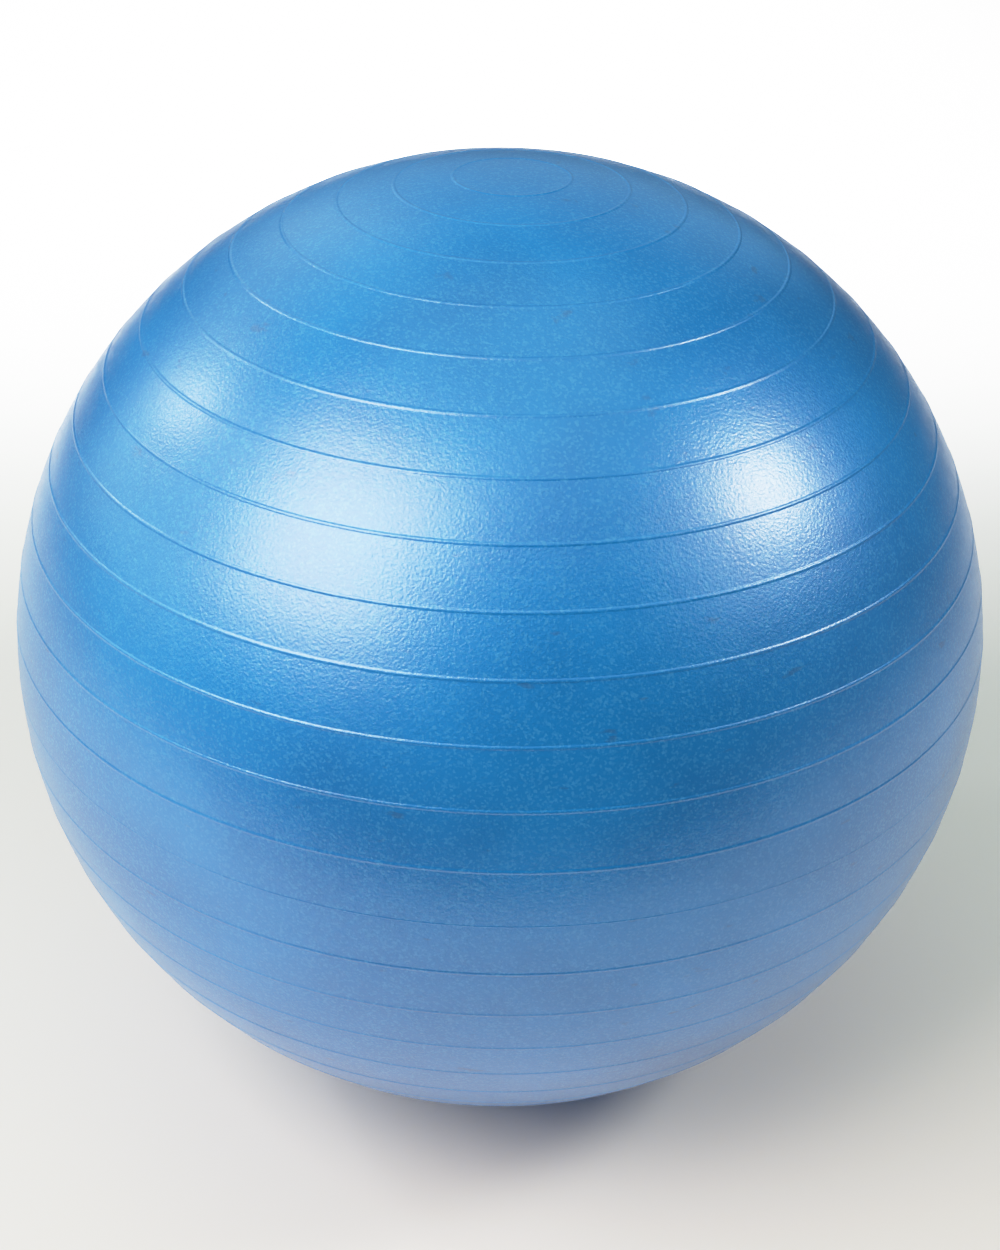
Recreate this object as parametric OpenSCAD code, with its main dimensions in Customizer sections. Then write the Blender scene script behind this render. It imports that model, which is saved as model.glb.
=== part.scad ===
// Exercise ball, standing on the floor.
// The ball is one seamless vinyl skin with raised ribs that run round it. A valve
// seat is fused into the skin at the lower pole, and a push-in plug closes it.
// The origin is on the floor, in the middle of the flat that the ball rests on,
// with +Z up through both poles.

/* [Ball] */
// Diameter across the equator
ball_d = 650; // [450:10:850]
// Distance from the axis to the centre of the skin's arc, which flattens the ball
pole_offset = 5; // [0:0.5:8]
// Thickness of the skin
wall = 0.9; // [0.8:0.1:1.5]
// Diameter of the flat at the lower pole, which the ball rests on
foot_d = 64; // [52:1:70]

/* [Ribs] */
// Number of ribs between a pole and the equator
ribs_per_half = 13; // [9:1:14]
// Width of a rib at its root
rib_w = 2.4; // [1.8:0.1:3]
// Height of a rib above the skin
rib_h = 0.6; // [0.3:0.05:0.8]
// Width of the mould's parting line at the equator
parting_w = 1; // [0.6:0.1:1.6]
// Height of the parting line above the skin
parting_h = 0.15; // [0.1:0.05:0.3]

/* [Valve seat] */
// Diameter of the seat where it fills the hole in the skin
seat_d = 24; // [23:0.5:26]
// Height of the seat's face above the floor
seat_lift = 0.2; // [0.1:0.05:0.4]
// Diameter of the flange that is fused to the inside of the skin
flange_d = 36; // [32:0.5:38]
// Thickness of the flange at the boss
flange_t = 3; // [2.6:0.1:4]
// Thickness of the flange at its rim
flange_rim_t = 1; // [0.6:0.1:1.5]
// Diameter of the boss that stands up into the ball
boss_d = 16; // [14:0.5:18]
// Height of the boss's end above the floor
boss_top = 20; // [16:0.5:26]
// Diameter of the bore, which takes the plug or a pump's nozzle
bore_d = 9; // [8:0.1:10]

/* [Plug] */
// Diameter of the plug's head
head_d = 18.6; // [17:0.1:19]
// Thickness of the head
head_t = 1.8; // [1.5:0.1:2]
// Height of the head's face above the floor
head_lift = 0.3; // [0.1:0.05:0.5]
// Gap all round the head in its recess
head_gap = 0.4; // [0.3:0.05:0.6]
// Radius of the head's rounded edge
head_edge = 0.6; // [0.3:0.1:0.9]
// Running clearance between the sealing rings and the bore, on the radius
seal_gap = 0.05; // [0.02:0.01:0.1]
// Number of sealing rings round the stem
seal_rings = 3; // [2:1:4]
// Height of a sealing ring above the stem
seal_h = 0.65; // [0.4:0.05:0.8]
// How far the stem's end stands past the end of the boss
tip_past = 0.5; // [-1:0.1:2]
// Length of the stem's tapered nose
nose_l = 3; // [2:0.5:4]
// Diameter of the nose's end
nose_d = 5.4; // [4.6:0.1:6]
// Diameter of the hollow in the stem
core_d = 3.8; // [2:0.1:4.2]
// Depth of the hollow in the stem
core_depth = 12; // [8:0.5:13]

/* [Hidden] */
skin_blue = "#3583C9";
seat_blue = "#2E6FB4";
plug_white = "#EEF0EE";
arc_fn = 256;
small_fn = 32;
slack = 1;
cap_ease = 1.1;
seal_arc = 1;
notch_r = 2.5;
notch_bite = 1.1;

ball_r = ball_d / 2;
arc_r = ball_r - pole_offset;
rib_step = 90 / (ribs_per_half + 1);
rib_one_r = ball_r * sin(rib_step);
centre_z = sqrt(pow(arc_r, 2) - pow(foot_d / 2 - pole_offset, 2));

seat_r = seat_d / 2;
bore_r = bore_d / 2;
head_r = head_d / 2;
recess_r = head_r + head_gap;
head_seat = head_lift + head_t;

seal_r = bore_r - seal_gap;
stem_r = seal_r - seal_h;
stem_top = boss_top + tip_past;
seal_pitch = (stem_top - nose_l - head_seat) / (seal_rings + 1);

// Angle of rib n from the pole, round the skin's arc. Its radius from the axis is
// the one that equal steps give on a round ball of the same diameter.
function rib_angle(n) = asin((ball_r * sin(n * rib_step) - pole_offset) / arc_r);

// A flatter arc, centred on the axis, caps the pole inside the first rib
cap_r = cap_ease * arc_r * pow(rib_one_r / (rib_one_r - pole_offset), 2);
cap_z = centre_z + arc_r * cos(rib_angle(1)) - sqrt(pow(cap_r, 2) - pow(rib_one_r, 2));

// Section of a bead of width w and height h on the skin's arc, at an angle from
// the pole
module bead_section(angle, w, h) {
    bead_r = (pow(w / 2, 2) + pow(h, 2)) / (2 * h);
    centre_r = arc_r + h - bead_r;
    translate([pole_offset + centre_r * sin(angle), centre_z + centre_r * cos(angle)])
        circle(r = bead_r, $fn = small_fn);
}

// Half section of the ball, less a depth all round, above a floor level
module ball_section(depth, level) {
    intersection() {
        translate([pole_offset, centre_z])
            circle(r = arc_r - depth, $fn = arc_fn);
        translate([0, cap_z])
            circle(r = cap_r - depth, $fn = arc_fn);
        translate([0, level])
            square([ball_r, ball_d]);
    }
}

// Half section of the skin's outer surface, with its ribs
module outer_section() {
    ball_section(0, 0);
    for (n = [1 : ribs_per_half]) {
        bead_section(rib_angle(n), rib_w, rib_h);
        bead_section(180 - rib_angle(n), rib_w, rib_h);
    }
    bead_section(90, parting_w, parting_h);
}

// Ribbed skin, flat where it stands, with a hole for the valve seat
module shell() {
    color(skin_blue)
        rotate_extrude($fn = arc_fn)
            difference() {
                intersection() {
                    outer_section();
                    square([ball_r + slack, ball_d]);
                }
                ball_section(wall, wall);
                translate([0, -slack])
                    square([seat_r, wall + 2 * slack]);
            }
}

// Outline of the seat in half section, before its bore and recess
module seat_section() {
    translate([0, seat_lift])
        square([seat_r, wall - seat_lift + flange_rim_t]);
    polygon([
        [0, wall],
        [flange_d / 2, wall],
        [flange_d / 2, wall + flange_rim_t],
        [boss_d / 2 + flange_t, wall + flange_t],
        [0, wall + flange_t]
    ]);
    translate([0, wall])
        square([boss_d / 2, boss_top - wall]);
}

// Valve seat: a flanged boss with a bore through it and a recess for the head
module valve_seat() {
    color(seat_blue)
        rotate_extrude($fn = arc_fn)
            difference() {
                seat_section();
                translate([0, -slack])
                    square([bore_r, boss_top + 2 * slack]);
                translate([0, -slack])
                    square([recess_r, head_seat + slack]);
            }
}

// Half section of the plug's head, rounded at its outer edge
module head_section() {
    translate([0, head_lift])
        square([head_r - head_edge, head_t]);
    translate([0, head_lift + head_edge])
        square([head_r, head_t - head_edge]);
    translate([head_r - head_edge, head_lift + head_edge])
        circle(r = head_edge, $fn = small_fn);
}

// Half section of the plug's stem, with its sealing rings and tapered nose
module stem_section() {
    polygon([
        [0, head_seat],
        [stem_r, head_seat],
        [stem_r, stem_top - nose_l],
        [nose_d / 2, stem_top],
        [0, stem_top]
    ]);
    for (n = [1 : seal_rings])
        translate([seal_r - seal_arc, head_seat + n * seal_pitch])
            circle(r = seal_arc, $fn = small_fn);
}

// Plug: a flat head with two notches to prise it by, and a hollow ribbed stem
module plug() {
    color(plug_white)
        difference() {
            rotate_extrude($fn = arc_fn)
                difference() {
                    union() {
                        head_section();
                        stem_section();
                    }
                    translate([0, stem_top - core_depth])
                        square([core_d / 2, core_depth + slack]);
                }
            for (side = [-1, 1])
                translate([side * (head_r + notch_r - notch_bite), 0, head_lift - slack])
                    cylinder(r = notch_r, h = head_t + 2 * slack, $fn = small_fn);
        }
}

shell();
valve_seat();
plug();
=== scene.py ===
"""Exercise ball: its look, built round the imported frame. Metres, +Z up, floor at Z = 0."""

import math

import bmesh
import bpy
from mathutils import Matrix, Vector


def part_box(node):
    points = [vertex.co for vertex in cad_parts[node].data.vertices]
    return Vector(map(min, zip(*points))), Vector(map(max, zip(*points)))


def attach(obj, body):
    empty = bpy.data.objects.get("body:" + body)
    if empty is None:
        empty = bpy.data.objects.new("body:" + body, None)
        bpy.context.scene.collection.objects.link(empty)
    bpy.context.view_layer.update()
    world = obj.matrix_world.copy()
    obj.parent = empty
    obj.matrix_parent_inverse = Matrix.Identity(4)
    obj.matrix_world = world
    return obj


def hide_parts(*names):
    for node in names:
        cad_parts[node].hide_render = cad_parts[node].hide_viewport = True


MM = 0.001

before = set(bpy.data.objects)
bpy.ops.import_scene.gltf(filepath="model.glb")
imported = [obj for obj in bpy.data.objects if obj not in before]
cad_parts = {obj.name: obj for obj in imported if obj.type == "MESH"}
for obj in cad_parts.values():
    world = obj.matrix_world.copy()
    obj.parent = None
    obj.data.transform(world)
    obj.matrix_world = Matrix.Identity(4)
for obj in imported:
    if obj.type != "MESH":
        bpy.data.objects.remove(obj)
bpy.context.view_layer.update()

# ---------------------------------------------------------------- sizes of the ball

RIBS_PER_HALF = 13
RIB_WIDTH = 2.4 * MM
RIB_HEIGHT = 0.35 * MM
RIB_FILLET = 1.0 * MM
PARTING_WIDTH = 1.0 * MM
PARTING_HEIGHT = 0.15 * MM
PARTING_FILLET = 0.6 * MM
SKIN_WALL = 0.9 * MM
POLE_OFFSET = 5.0 * MM
FOOT_RADIUS = 32.0 * MM
SEAT_RADIUS = 12.0 * MM
CAP_EASE = 1.1
BAND_EASE = 0.25 * MM

# Steps of the skin's half section, and of its turn round the axis
CAP_STEPS = 6
FILLET_STEPS = 2
RIB_STEPS = 5
PARTING_STEPS = 4
BAND_STEPS = 4
FOOT_STEPS = 4
INNER_FOOT_STEPS = 2
INNER_SIDE_STEPS = 36
INNER_CAP_STEPS = 3
TURN_STEPS = 192

SEAT_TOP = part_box("valve_seat")[1].z
PLUG_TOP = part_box("plug")[1].z

BALL_RADIUS = 325.0 * MM
ARC_RADIUS = BALL_RADIUS - POLE_OFFSET
RIB_PITCH = math.radians(90) / (RIBS_PER_HALF + 1)
RIB_ONE_RADIUS = BALL_RADIUS * math.sin(RIB_PITCH)
CENTRE_Z = math.sqrt(ARC_RADIUS**2 - (FOOT_RADIUS - POLE_OFFSET) ** 2)

# ---------------------------------------------------------------- profile drawing

MERGE_DISTANCE = 0.001 * MM


def start_profile(x, z):
    """A new mesh with one vertex, from which a half section in the XZ plane is drawn."""
    mesh = bmesh.new()
    mesh.verts.new((x, 0, z))
    mesh.verts.ensure_lookup_table()
    return mesh


def last_vertex(mesh):
    """End of the profile so far."""
    mesh.verts.ensure_lookup_table()
    return mesh.verts[-1]


def draw_arc(mesh, centre, angle, steps):
    """Carries the profile on by an arc. A positive angle turns it from up to outwards."""
    bmesh.ops.spin(
        mesh,
        geom=[last_vertex(mesh)],
        cent=(centre[0], 0, centre[1]),
        axis=(0, 1, 0),
        angle=angle,
        steps=steps,
    )


def draw_line(mesh, x, z, steps=1):
    """Carries the profile on by a straight line."""
    start = last_vertex(mesh).co.copy()
    stride = (Vector((x, 0, z)) - start) / steps
    for _ in range(steps):
        bmesh.ops.extrude_vert_indiv(mesh, verts=[last_vertex(mesh)])
        last_vertex(mesh).co += stride


def turn_profile(mesh, steps):
    """Turns the half section round the Z axis into a closed solid with its faces outwards."""
    bmesh.ops.spin(
        mesh,
        geom=mesh.verts[:] + mesh.edges[:],
        cent=(0, 0, 0),
        axis=(0, 0, 1),
        angle=math.tau,
        steps=steps,
        use_merge=True,
    )
    bmesh.ops.remove_doubles(mesh, verts=mesh.verts, dist=MERGE_DISTANCE)
    bmesh.ops.recalc_face_normals(mesh, faces=mesh.faces)


def add_object(name, data):
    """Puts an object that holds the data into the scene."""
    added = bpy.data.objects.new(name, data)
    bpy.context.scene.collection.objects.link(added)
    return added


def mesh_object(name, mesh, material):
    """Makes an object of the finished mesh."""
    data = bpy.data.meshes.new(name)
    mesh.to_mesh(data)
    mesh.free()
    data.materials.append(material)
    return add_object(name, data)


def finish_piece(name, mesh, body, cad_node, material, smooth_angle=40):
    """Makes an object of the mesh that rides on its body and stands for its CAD node."""
    piece = mesh_object(name, mesh, material)
    piece.data.shade_smooth()
    piece.data.set_sharp_from_angle(angle=math.radians(smooth_angle))
    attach(piece, body)
    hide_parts(cad_node)


# ---------------------------------------------------------------- colours and nodes


def colour(hex_code, alpha=1.0):
    """Linear colour from an sRGB hex code."""
    channels = [int(hex_code[i : i + 2], 16) / 255 for i in (1, 3, 5)]
    linear = [c / 12.92 if c <= 0.04045 else ((c + 0.055) / 1.055) ** 2.4 for c in channels]
    return (*linear, alpha)


def new_material(name):
    """A material whose node tree holds only a Principled shader and its output."""
    material = bpy.data.materials.new(name)
    material.use_nodes = True
    tree = material.node_tree
    tree.nodes.clear()
    shader = tree.nodes.new("ShaderNodeBsdfPrincipled")
    output = tree.nodes.new("ShaderNodeOutputMaterial")
    tree.links.new(shader.outputs["BSDF"], output.inputs["Surface"])
    return material, tree, shader


def node(tree, kind, settings=None, **links):
    """Adds a node. Settings are its properties or input values, and links feed its inputs."""
    added = tree.nodes.new("ShaderNode" + kind)
    for key, value in (settings or {}).items():
        if hasattr(added, key):
            setattr(added, key, value)
        else:
            added.inputs[key].default_value = value
    for key, source in links.items():
        tree.links.new(source, added.inputs[key.replace("_", " ")])
    return added


# ---------------------------------------------------------------- materials


def set_ramp(ramp, stops):
    """Gives a colour ramp its stops, from (position, colour) pairs."""
    elements = ramp.color_ramp.elements
    while len(elements) < len(stops):
        elements.new(0.5)
    for element, (position, shade) in zip(elements, stops):
        element.position = position
        element.color = shade


def pearl_vinyl(name, deep, light, fleck):
    """Soft PVC with fine mica, rotationally moulded: satin, with a tight leathery grain that
    glitters in the highlights, slightly cloudy where the melt was thicker, and rubbed in places."""
    material, tree, shader = new_material(name)
    place = node(tree, "TexCoord").outputs["Object"]

    # Cloudy melt, patches about a hand wide
    cloud = node(tree, "TexNoise", {"Scale": 1 / (120 * MM), "Detail": 3.0}, Vector=place)
    melt = node(tree, "ValToRGB", Fac=cloud.outputs["Fac"])
    set_ramp(melt, [(0.36, colour(deep)), (0.68, colour(light))])

    # Mica flecks, drawn 1.3 mm apart: real ones are under 0.1 mm and would not show
    mica = node(tree, "TexVoronoi", {"Scale": 1 / (1.3 * MM)}, Vector=place)
    shade = node(tree, "SeparateColor", Color=mica.outputs["Color"])
    bright = node(tree, "ValToRGB", Fac=shade.outputs["Red"])
    set_ramp(bright, [(0.6, (0, 0, 0, 1)), (1.0, (0.22, 0.22, 0.22, 1))])
    flecked = node(
        tree,
        "Mix",
        {"data_type": "RGBA", "B": colour(fleck)},
        Factor=bright.outputs["Color"],
        A=melt.outputs["Color"],
    )

    # Scuffs from the floor: sparse smears up to 15 mm long, along the way that the ball rolls
    across = node(tree, "Mapping", {"Scale": (1.0, 1.0, 2.6)}, Vector=place)
    smear = node(
        tree, "TexNoise", {"Scale": 1 / (22 * MM), "Detail": 6.0}, Vector=across.outputs["Vector"]
    )
    scuff = node(tree, "ValToRGB", Fac=smear.outputs["Fac"])
    set_ramp(scuff, [(0.68, (0, 0, 0, 1)), (0.74, (0.3, 0.3, 0.3, 1))])
    scuffed = node(
        tree,
        "Mix",
        {"data_type": "RGBA", "B": colour("#3C4A60")},
        Factor=scuff.outputs["Color"],
        A=flecked.outputs["Result"],
    )
    tree.links.new(scuffed.outputs["Result"], shader.inputs["Base Color"])

    # Leathery grain of the mould, drawn a little under 2 mm from crest to crest: the real
    # one is finer and would not show
    grain = node(tree, "TexNoise", {"Scale": 1 / (1.7 * MM), "Detail": 3.0}, Vector=place)
    pebble = node(
        tree, "Bump", {"Strength": 1.0, "Distance": 0.25 * MM}, Height=grain.outputs["Fac"]
    )
    # Broad waves of the blown skin, about 80 mm long
    wave = node(tree, "TexNoise", {"Scale": 1 / (80 * MM), "Detail": 1.0}, Vector=place)
    skin = node(
        tree,
        "Bump",
        {"Strength": 1.0, "Distance": 0.25 * MM},
        Height=wave.outputs["Fac"],
        Normal=pebble.outputs["Normal"],
    )
    # Each fleck tips the light its own way
    glitter = node(
        tree,
        "Bump",
        {"Strength": 1.0, "Distance": 0.1 * MM},
        Height=shade.outputs["Green"],
        Normal=skin.outputs["Normal"],
    )
    tree.links.new(glitter.outputs["Normal"], shader.inputs["Normal"])
    tree.links.new(skin.outputs["Normal"], shader.inputs["Coat Normal"])

    # Rubbed patches, palm sized, are a little glossier or duller than the rest
    rub = node(tree, "TexNoise", {"Scale": 1 / (90 * MM), "Detail": 5.0}, Vector=place)
    rough = node(tree, "MapRange", {"To Min": 0.44, "To Max": 0.56}, Value=rub.outputs["Fac"])
    tree.links.new(rough.outputs["Result"], shader.inputs["Roughness"])
    shader.inputs["Metallic"].default_value = 0.36
    shader.inputs["IOR"].default_value = 1.53
    shader.inputs["Specular IOR Level"].default_value = 0.1
    shader.inputs["Coat Weight"].default_value = 1.0
    shader.inputs["Coat Roughness"].default_value = 0.27
    shader.inputs["Coat IOR"].default_value = 1.7
    return material


def moulded_polyethylene(name, shade):
    """White polyethylene, injection moulded: waxy, slightly uneven gloss, a little see-through."""
    material, tree, shader = new_material(name)
    place = node(tree, "TexCoord").outputs["Object"]
    flow = node(tree, "TexNoise", {"Scale": 1 / (6 * MM), "Detail": 3.0}, Vector=place)
    bump = node(
        tree, "Bump", {"Strength": 0.6, "Distance": 0.03 * MM}, Height=flow.outputs["Fac"]
    )
    gloss = node(tree, "MapRange", {"To Min": 0.32, "To Max": 0.5}, Value=flow.outputs["Fac"])
    tree.links.new(bump.outputs["Normal"], shader.inputs["Normal"])
    tree.links.new(gloss.outputs["Result"], shader.inputs["Roughness"])
    shader.inputs["Base Color"].default_value = colour(shade)
    shader.inputs["IOR"].default_value = 1.51
    shader.inputs["Subsurface Weight"].default_value = 0.2
    shader.inputs["Subsurface Radius"].default_value = (1.2 * MM, 1.1 * MM, 1.0 * MM)
    shader.inputs["Subsurface Scale"].default_value = 1.0
    return material


# ---------------------------------------------------------------- ribbed skin


def skin_point(angle, reach=ARC_RADIUS):
    """Point (x, z) at an angle from the pole and a reach from the centre of the skin's arc."""
    return (POLE_OFFSET + reach * math.sin(angle), CENTRE_Z + reach * math.cos(angle))


def rib_angle(count):
    """Angle of a rib from the pole, round the skin's arc."""
    return math.asin((BALL_RADIUS * math.sin(count * RIB_PITCH) - POLE_OFFSET) / ARC_RADIUS)


def flatten_below_floor(mesh):
    """Presses flat onto the floor what would reach below it."""
    bmesh.ops.bisect_plane(
        mesh, geom=mesh.verts[:] + mesh.edges[:], plane_co=(0, 0, 0), plane_no=(0, 0, 1)
    )
    for vertex in mesh.verts:
        vertex.co.z = max(vertex.co.z, 0)


def bead_shape(width, height, fillet):
    """Reach of a bead's crown centre and of its fillets' centres, and then the half angle
    between the fillets and the angle that each fillet turns through."""
    crown = ((width / 2) ** 2 + height**2) / (2 * height)
    centre = ARC_RADIUS + height - crown
    side = ARC_RADIUS + fillet
    reach = crown + fillet
    half = math.acos((centre**2 + side**2 - reach**2) / (2 * centre * side))
    turn = math.acos((side**2 + reach**2 - centre**2) / (2 * side * reach))
    return centre, side, half, turn


def draw_band(mesh, centre, angle, steps):
    """Carries the profile on between two beads. Narrow steps at its ends keep the shade even."""
    ease = BAND_EASE / ARC_RADIUS
    draw_arc(mesh, centre, ease, 1)
    draw_arc(mesh, centre, angle - 2 * ease, steps)
    draw_arc(mesh, centre, ease, 1)


def draw_bead(mesh, angle, width, height, fillet, steps):
    """Carries the profile on over a raised bead, with a fillet at each root."""
    centre, side, half, turn = bead_shape(width, height, fillet)
    for sense in (-1, 1):
        draw_arc(mesh, skin_point(angle + sense * half, side), -turn, FILLET_STEPS)
        if sense == -1:
            draw_arc(mesh, skin_point(angle, centre), 2 * (half + turn), steps)


def build_shell(material):
    """The skin: ribbed outside, smooth inside and flat where it stands, with the seat's hole."""
    centre = (POLE_OFFSET, CENTRE_Z)
    cap_radius = CAP_EASE * ARC_RADIUS * (RIB_ONE_RADIUS / (RIB_ONE_RADIUS - POLE_OFFSET)) ** 2
    cap_z = skin_point(rib_angle(1))[1] - math.sqrt(cap_radius**2 - RIB_ONE_RADIUS**2)
    rib = (RIB_WIDTH, RIB_HEIGHT, RIB_FILLET)
    parting = (PARTING_WIDTH, PARTING_HEIGHT, PARTING_FILLET)
    upper = [(rib_angle(n), rib, RIB_STEPS) for n in range(1, RIBS_PER_HALF + 1)]
    lower = [(math.pi - angle, shape, steps) for angle, shape, steps in reversed(upper)]
    beads = upper + [(math.pi / 2, parting, PARTING_STEPS)] + lower

    mesh = start_profile(0, cap_z + cap_radius)
    reached = None
    for angle, shape, steps in beads:
        half = bead_shape(*shape)[2]
        if reached is None:
            start = skin_point(angle - half)
            draw_arc(mesh, (0, cap_z), math.asin(start[0] / cap_radius), CAP_STEPS)
            last_vertex(mesh).co = (start[0], 0, start[1])
        else:
            draw_band(mesh, centre, angle - half - reached, BAND_STEPS)
        draw_bead(mesh, angle, *shape, steps)
        reached = angle + half
    foot_angle = math.pi - math.asin((FOOT_RADIUS - POLE_OFFSET) / ARC_RADIUS)
    draw_arc(mesh, centre, foot_angle - reached, 1)
    draw_line(mesh, SEAT_RADIUS, 0, FOOT_STEPS)
    draw_line(mesh, SEAT_RADIUS, SKIN_WALL)
    inner_foot = math.sqrt((ARC_RADIUS - SKIN_WALL) ** 2 - (CENTRE_Z - SKIN_WALL) ** 2)
    inner_angle = math.pi - math.atan2(inner_foot, CENTRE_Z - SKIN_WALL)
    cap_start = math.asin((RIB_ONE_RADIUS - POLE_OFFSET) / ARC_RADIUS)
    draw_line(mesh, POLE_OFFSET + inner_foot, SKIN_WALL, INNER_FOOT_STEPS)
    draw_arc(mesh, centre, cap_start - inner_angle, INNER_SIDE_STEPS)
    cap_end = last_vertex(mesh).co
    cap_turn = math.atan2(cap_end.x, cap_end.z - cap_z)
    draw_arc(mesh, (0, cap_z), -cap_turn, INNER_CAP_STEPS)
    last_vertex(mesh).co.x = 0
    flatten_below_floor(mesh)
    turn_profile(mesh, TURN_STEPS)
    finish_piece("ribbed_skin", mesh, "ball", "shell", material)


# ---------------------------------------------------------------- valve seat and plug

SEAT_LIFT = 0.2 * MM
FLANGE_RADIUS = 18.0 * MM
FLANGE_THICK = 3.0 * MM
FLANGE_RIM = 1.0 * MM
BOSS_RADIUS = 8.0 * MM
BORE_RADIUS = 4.5 * MM
RECESS_RADIUS = 9.7 * MM
SEAT_EDGE = 0.25 * MM
HEAD_RADIUS = 9.3 * MM
HEAD_THICK = 1.8 * MM
HEAD_LIFT = 0.3 * MM
HEAD_EDGE = 0.6 * MM
HEAD_BACK_EDGE = 0.3 * MM
DISH_DEPTH = 0.25 * MM
DISH_RADIUS = 5.6 * MM
DISH_RIM_RADIUS = 6.0 * MM
HEAD_SEAT = HEAD_LIFT + HEAD_THICK
SEAL_RADIUS = BORE_RADIUS - 0.05 * MM
SEAL_ARC = 1.0 * MM
SEAL_RINGS = 3
STEM_RADIUS = SEAL_RADIUS - 0.65 * MM
NOSE_RADIUS = 2.7 * MM
NOSE_LENGTH = 3.0 * MM
NOSE_EDGE = 0.3 * MM
CORE_RADIUS = 1.9 * MM
CORE_EDGE = 0.2 * MM
CORE_DEPTH = 12.0 * MM
NOTCH_RADIUS = 2.5 * MM
NOTCH_BITE = 1.1 * MM
NOTCH_SLACK = 0.1 * MM
SMALL_TURN_STEPS = 160


def draw_corners(mesh, corners):
    """Carries the profile on from corner to corner by straight lines."""
    for x, z in corners:
        draw_line(mesh, x, z)


def round_corners(mesh, radius, steps=3):
    """Rounds the corners that a lathe turned sharp, as a mould leaves them."""
    sharp = [e for e in mesh.edges if e.is_manifold and e.calc_face_angle() > math.radians(25)]
    bmesh.ops.bevel(
        mesh,
        geom=sharp,
        offset=radius,
        offset_type="OFFSET",
        segments=steps,
        profile=0.5,
        affect="EDGES",
        clamp_overlap=True,
        material=-1,
    )


def build_valve_seat(material):
    """Flanged boss that is fused into the skin, with a bore and a recess for the plug's head."""
    mesh = start_profile(SEAT_RADIUS, SEAT_LIFT)
    draw_corners(
        mesh,
        [
            (SEAT_RADIUS, SKIN_WALL),
            (FLANGE_RADIUS, SKIN_WALL),
            (FLANGE_RADIUS, SKIN_WALL + FLANGE_RIM),
            (BOSS_RADIUS + FLANGE_THICK, SKIN_WALL + FLANGE_THICK),
            (BOSS_RADIUS, SKIN_WALL + FLANGE_THICK),
            (BOSS_RADIUS, SEAT_TOP),
            (BORE_RADIUS, SEAT_TOP),
            (BORE_RADIUS, HEAD_SEAT),
            (RECESS_RADIUS, HEAD_SEAT),
            (RECESS_RADIUS, SEAT_LIFT),
        ],
    )
    bmesh.ops.contextual_create(mesh, geom=[mesh.verts[0], last_vertex(mesh)])
    turn_profile(mesh, SMALL_TURN_STEPS)
    round_corners(mesh, SEAT_EDGE)
    finish_piece("valve_seat_boss", mesh, "ball", "valve_seat", material)


def cut_notches(mesh):
    """Presses the head's rim in at two sides, so that a tool can prise the plug out."""
    for side in (-1, 1):
        axis = Vector((side * (HEAD_RADIUS + NOTCH_RADIUS - NOTCH_BITE), 0))
        for vertex in mesh.verts:
            away = vertex.co.xy - axis
            if vertex.co.z <= HEAD_SEAT + NOTCH_SLACK and away.length < NOTCH_RADIUS:
                vertex.co.xy = axis + away.normalized() * NOTCH_RADIUS


def build_plug(material):
    """Flat headed plug with a hollow stem, three sealing rings and a tapered nose."""
    nose_root = PLUG_TOP - NOSE_LENGTH
    pitch = (nose_root - HEAD_SEAT) / (SEAL_RINGS + 1)
    ring_centre = SEAL_RADIUS - SEAL_ARC
    ring_half = math.acos((STEM_RADIUS - ring_centre) / SEAL_ARC)
    edge = (HEAD_RADIUS - HEAD_EDGE, HEAD_LIFT + HEAD_EDGE)
    back_edge = (HEAD_RADIUS - HEAD_BACK_EDGE, HEAD_SEAT - HEAD_BACK_EDGE)
    dish = HEAD_LIFT + DISH_DEPTH
    mesh = start_profile(0, dish)
    draw_corners(mesh, [(DISH_RADIUS, dish), (DISH_RIM_RADIUS, HEAD_LIFT)])
    draw_line(mesh, edge[0], HEAD_LIFT, 3)
    draw_arc(mesh, edge, -math.radians(90), 6)
    draw_line(mesh, HEAD_RADIUS, back_edge[1])
    draw_arc(mesh, back_edge, -math.radians(90), 3)
    draw_line(mesh, STEM_RADIUS, HEAD_SEAT)
    for ring in range(1, SEAL_RINGS + 1):
        middle = HEAD_SEAT + ring * pitch
        draw_line(mesh, STEM_RADIUS, middle - SEAL_ARC * math.sin(ring_half))
        draw_arc(mesh, (ring_centre, middle), -2 * ring_half, 8)
    draw_corners(
        mesh,
        [
            (STEM_RADIUS, nose_root),
            (NOSE_RADIUS, PLUG_TOP - NOSE_EDGE),
            (NOSE_RADIUS - NOSE_EDGE, PLUG_TOP),
            (CORE_RADIUS + CORE_EDGE, PLUG_TOP),
            (CORE_RADIUS, PLUG_TOP - CORE_EDGE),
            (CORE_RADIUS, PLUG_TOP - CORE_DEPTH),
            (0, PLUG_TOP - CORE_DEPTH),
        ],
    )
    turn_profile(mesh, SMALL_TURN_STEPS)
    cut_notches(mesh)
    finish_piece("push_in_plug", mesh, "plug", "plug", material, 35)


# ---------------------------------------------------------------- stage, lights and camera

# The camera looks at the ball's middle from this far and this high
CAMERA_DISTANCE = 1.356
CAMERA_ELEVATION = 30.78
CAMERA_ROLL = math.radians(1.54)
CAMERA_LENS = 56.35
BALL_CENTRE = Vector((0, 0, CENTRE_Z))
FLAG_WIDTH = 3.2
FLAG_HEIGHT = 0.75
FLAG_DISTANCE = 0.85
FLAG_LIFT = 2 * MM
FLOOR_REACH = 12
# The floor's painted glow, which only the camera sees, grows between these distances from the
# ball's foot
FADE_START = 0.9
FADE_END = 2.3
ROOM_LIGHT = 0.05
BACKGROUND_LIGHT = 1.6
FLOOR_LIGHT_PLACE = (-0.2, 2.6, 2.2)
UNDER_LIGHT_PLACE = (0, 0, -0.4)
FILM_KNEE = 0.5
FILM_WHITE = 4.0
FILM_STEPS = 14

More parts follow.
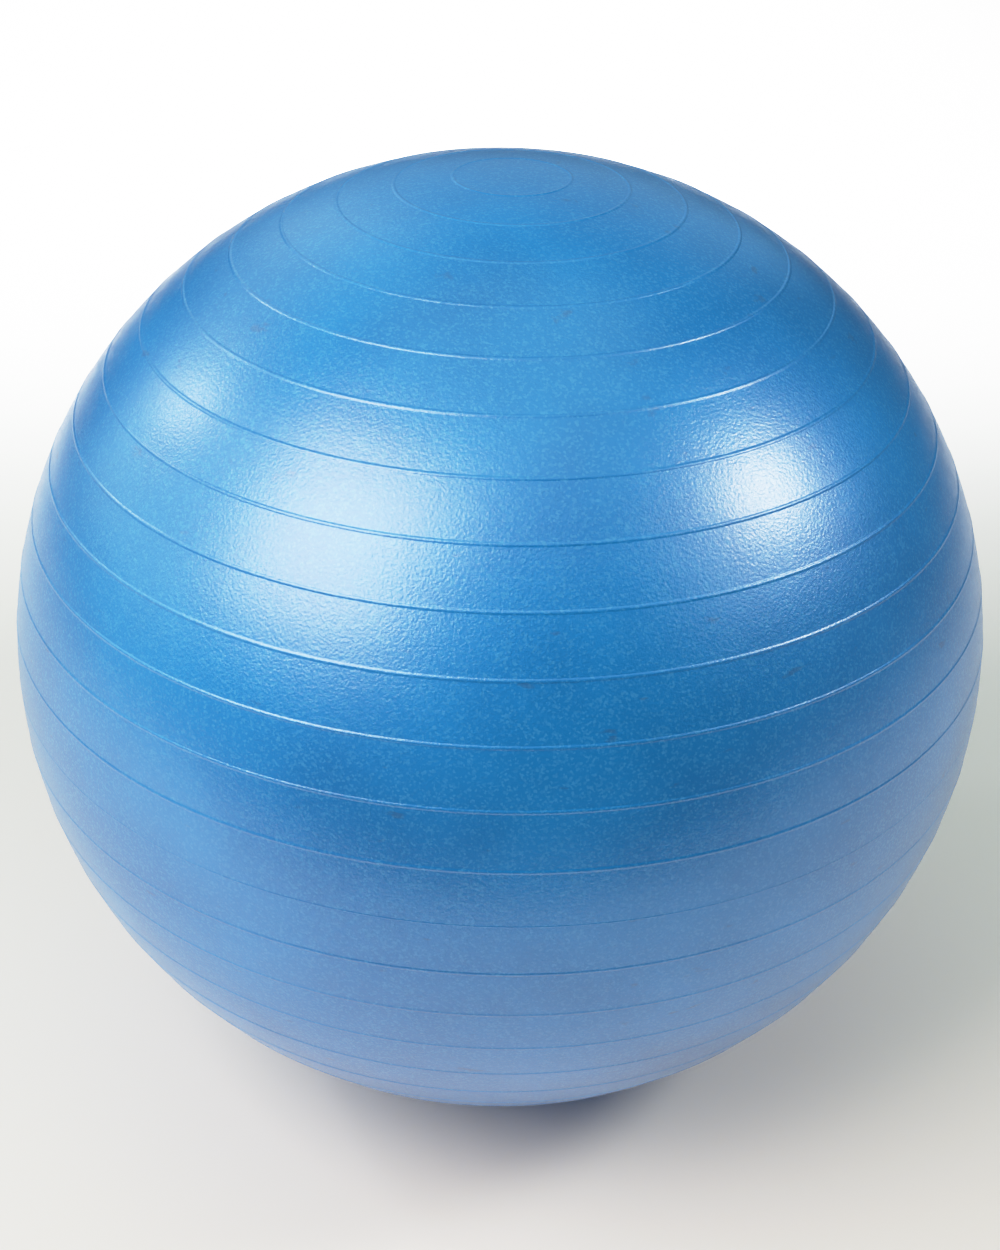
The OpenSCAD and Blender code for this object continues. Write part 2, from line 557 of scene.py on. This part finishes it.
# Name, azimuth from -Y towards +X, elevation, distance, width, height, power, tint.
# The keys and their halo are warm lamps, and the panels over and behind the ball are cooler.
SOFTBOXES = [
    ("left_key", -46, 40.5, 1.8, 1.2, 1.25, 45.2, "#FFF0E2"),
    ("right_key", 78.5, 37.5, 1.76, 0.42, 0.42, 14.2, "#FFFDF3"),
    ("right_halo", 66, 37, 1.9, 1.1, 1.0, 4.77, "#FFE5BC"),
    ("small_kicker", -107.7, 30, 2.0, 0.2, 0.2, 4.2, "#FCFCFF"),
    ("top_panel", 0, 88, 1.8, 1.6, 1.6, 6.41, "#DBFFEA"),
    ("front_panel", 0, 55, 1.9, 1.2, 0.8, 1.68, "#FFFBFB"),
    ("left_wall", -95, 25, 1.9, 1.8, 1.4, 10.1, "#E8FFEB"),
    ("back_wall", 180, 30, 2.0, 2.4, 1.4, 5.24, "#BBEAFF"),
    ("back_left", -140, 40, 2.0, 1.2, 1.2, 3.54, "#D9FEFF"),
]


def direction(azimuth, elevation):
    """Unit vector at an azimuth from -Y towards +X, and an elevation, both in degrees."""
    a, e = math.radians(azimuth), math.radians(elevation)
    return Vector((math.sin(a) * math.cos(e), -math.cos(a) * math.cos(e), math.sin(e)))


def add_camera():
    """Camera that looks down on the ball's middle, rolled a little."""
    data = bpy.data.cameras.new("camera")
    data.lens = CAMERA_LENS
    data.sensor_width = 36
    data.sensor_fit = "AUTO"
    camera = add_object("camera", data)
    back = direction(0, CAMERA_ELEVATION)
    camera.location = BALL_CENTRE + CAMERA_DISTANCE * back
    look = (-back).to_track_quat("-Z", "Y")
    camera.rotation_mode = "QUATERNION"
    camera.rotation_quaternion = look @ Matrix.Rotation(CAMERA_ROLL, 3, "Z").to_quaternion()
    bpy.context.scene.camera = camera


def add_lamp(name, place, facing, width, height, power, tint):
    """Rectangular soft light at a place, facing the way of a vector."""
    data = bpy.data.lights.new(name, "AREA")
    data.shape = "RECTANGLE"
    data.size = width
    data.size_y = height
    data.energy = power
    data.color = colour(tint)[:3]
    lamp = add_object(name, data)
    lamp.location = place
    lamp.rotation_mode = "QUATERNION"
    lamp.rotation_quaternion = facing.to_track_quat("-Z", "Y")
    return lamp


def add_softbox(name, azimuth, elevation, distance, width, height, power, tint):
    """Soft box that faces the ball's middle."""
    away = direction(azimuth, elevation)
    add_lamp(name, BALL_CENTRE + distance * away, -away, width, height, power, tint)


def add_floor_light():
    """Narrow beamed light over the floor behind the ball, which keeps it pale."""
    down = Vector((0, 0, -1))
    lamp = add_lamp("floor_light", FLOOR_LIGHT_PLACE, down, 2.0, 3.0, 60, "#FFFFFF")
    lamp.data.spread = math.radians(45)


def add_under_light():
    """Small narrow light under the floor, for whoever looks at the valve from below."""
    up = Vector((0, 0, 1))
    lamp = add_lamp("under_light", UNDER_LIGHT_PLACE, up, 0.12, 0.12, 0.035, "#FFFFFF")
    lamp.data.spread = math.radians(28)


def add_front_flag():
    """Dark card in front of the ball that shows only in its gloss, as a dark room would."""
    mesh = bmesh.new()
    bmesh.ops.create_grid(mesh, x_segments=1, y_segments=1, size=0.5)
    bmesh.ops.scale(mesh, vec=(FLAG_WIDTH, FLAG_HEIGHT, 1), verts=mesh.verts)
    upright = Matrix.Rotation(math.radians(90), 3, "X")
    bmesh.ops.rotate(mesh, cent=(0, 0, 0), matrix=upright, verts=mesh.verts)
    place = (0, -FLAG_DISTANCE, FLAG_HEIGHT / 2 + FLAG_LIFT)
    bmesh.ops.translate(mesh, vec=place, verts=mesh.verts)
    material, _, shader = new_material("dark_card")
    shader.inputs["Base Color"].default_value = colour("#262626")
    shader.inputs["Roughness"].default_value = 1.0
    flag = mesh_object("front_flag", mesh, material)
    flag.visible_camera = False
    flag.visible_diffuse = False
    flag.visible_shadow = False


def set_film():
    """Rolls bright light off gently, as film does, and leaves light below the knee as it is."""
    view = bpy.context.scene.view_settings
    view.view_transform = "Standard"
    view.use_curve_mapping = True
    mapping = view.curve_mapping
    mapping.white_level = (FILM_WHITE, FILM_WHITE, FILM_WHITE)
    curve = mapping.curves[3]
    curve.points[0].location = (0, 0)
    curve.points[1].location = (1, film_response(FILM_WHITE))
    for step in range(1, FILM_STEPS):
        light = FILM_KNEE + (FILM_WHITE - FILM_KNEE) * ((step - 1) / (FILM_STEPS - 1)) ** 2
        curve.points.new(light / FILM_WHITE, film_response(light))
    for point in curve.points:
        point.handle_type = "VECTOR"
    mapping.update()


def film_response(light):
    """What the film makes of an amount of light: straight up to the knee, then rounding off."""
    if light <= FILM_KNEE:
        return light
    room = 1 - FILM_KNEE
    return FILM_KNEE + room * (1 - math.exp(-(light - FILM_KNEE) / room))


def studio_floor():
    """Pale matt floor that can be seen through from below; far off it glows to the camera alone,
    painted light where the lamps' light falls off.
    """
    material, tree, shader = new_material("pale_matt_floor")
    place = node(tree, "TexCoord").outputs["Object"]
    # Painted light: far off the floor glows for camera rays alone and lights nothing, so it stays
    # pale where the lamps' light falls off
    reach = node(tree, "VectorMath", {"operation": "LENGTH"}, Vector=place)
    painted_far_glow = node(
        tree,
        "MapRange",
        {
            "interpolation_type": "SMOOTHSTEP",
            "From Min": FADE_START,
            "From Max": FADE_END,
            "To Max": BACKGROUND_LIGHT,
        },
        Value=reach.outputs["Value"],
    )
    seen = node(tree, "LightPath").outputs["Is Camera Ray"]
    glow = node(tree, "MapRange", Value=seen, To_Max=painted_far_glow.outputs["Result"])
    tree.links.new(glow.outputs["Result"], shader.inputs["Emission Strength"])
    shader.inputs["Emission Color"].default_value = (1, 1, 1, 1)
    shader.inputs["Base Color"].default_value = colour("#E2E2E2")
    shader.inputs["Roughness"].default_value = 0.9
    side = node(tree, "NewGeometry").outputs["Backfacing"]
    clear = node(tree, "BsdfTransparent").outputs["BSDF"]
    mix = node(tree, "MixShader", Fac=side)
    tree.links.new(shader.outputs["BSDF"], mix.inputs[1])
    tree.links.new(clear, mix.inputs[2])
    output = next(n for n in tree.nodes if n.type == "OUTPUT_MATERIAL")
    tree.links.new(mix.outputs["Shader"], output.inputs["Surface"])
    return material


def add_floor():
    """Large floor at the height that the ball stands on, which lets the light under it through."""
    mesh = bmesh.new()
    bmesh.ops.create_grid(mesh, x_segments=1, y_segments=1, size=FLOOR_REACH)
    floor = mesh_object("floor", mesh, studio_floor())
    floor.visible_shadow = False


def add_world():
    """Dim room that looks as pale as the far floor."""
    world = bpy.data.worlds.new("studio")
    world.use_nodes = True
    bpy.context.scene.world = world
    tree = world.node_tree
    background = tree.nodes["Background"]
    background.inputs["Color"].default_value = (1, 1, 1, 1)
    seen = node(tree, "LightPath").outputs["Is Camera Ray"]
    strength = node(
        tree, "MapRange", {"To Min": ROOM_LIGHT, "To Max": BACKGROUND_LIGHT}, Value=seen
    )
    tree.links.new(strength.outputs["Result"], background.inputs["Strength"])


add_camera()
add_floor()
add_world()
add_floor_light()
add_under_light()
add_front_flag()
for softbox in SOFTBOXES:
    add_softbox(*softbox)
set_film()

build_shell(pearl_vinyl("pearl_pvc_satin_moulded", "#0A70BC", "#0F7ECE", "#58B4EA"))
build_valve_seat(pearl_vinyl("valve_seat_pvc_moulded", "#0A4C8C", "#0F5A9C", "#7FB4DC"))
build_plug(moulded_polyethylene("plug_polyethylene_moulded", "#EEF0EE"))
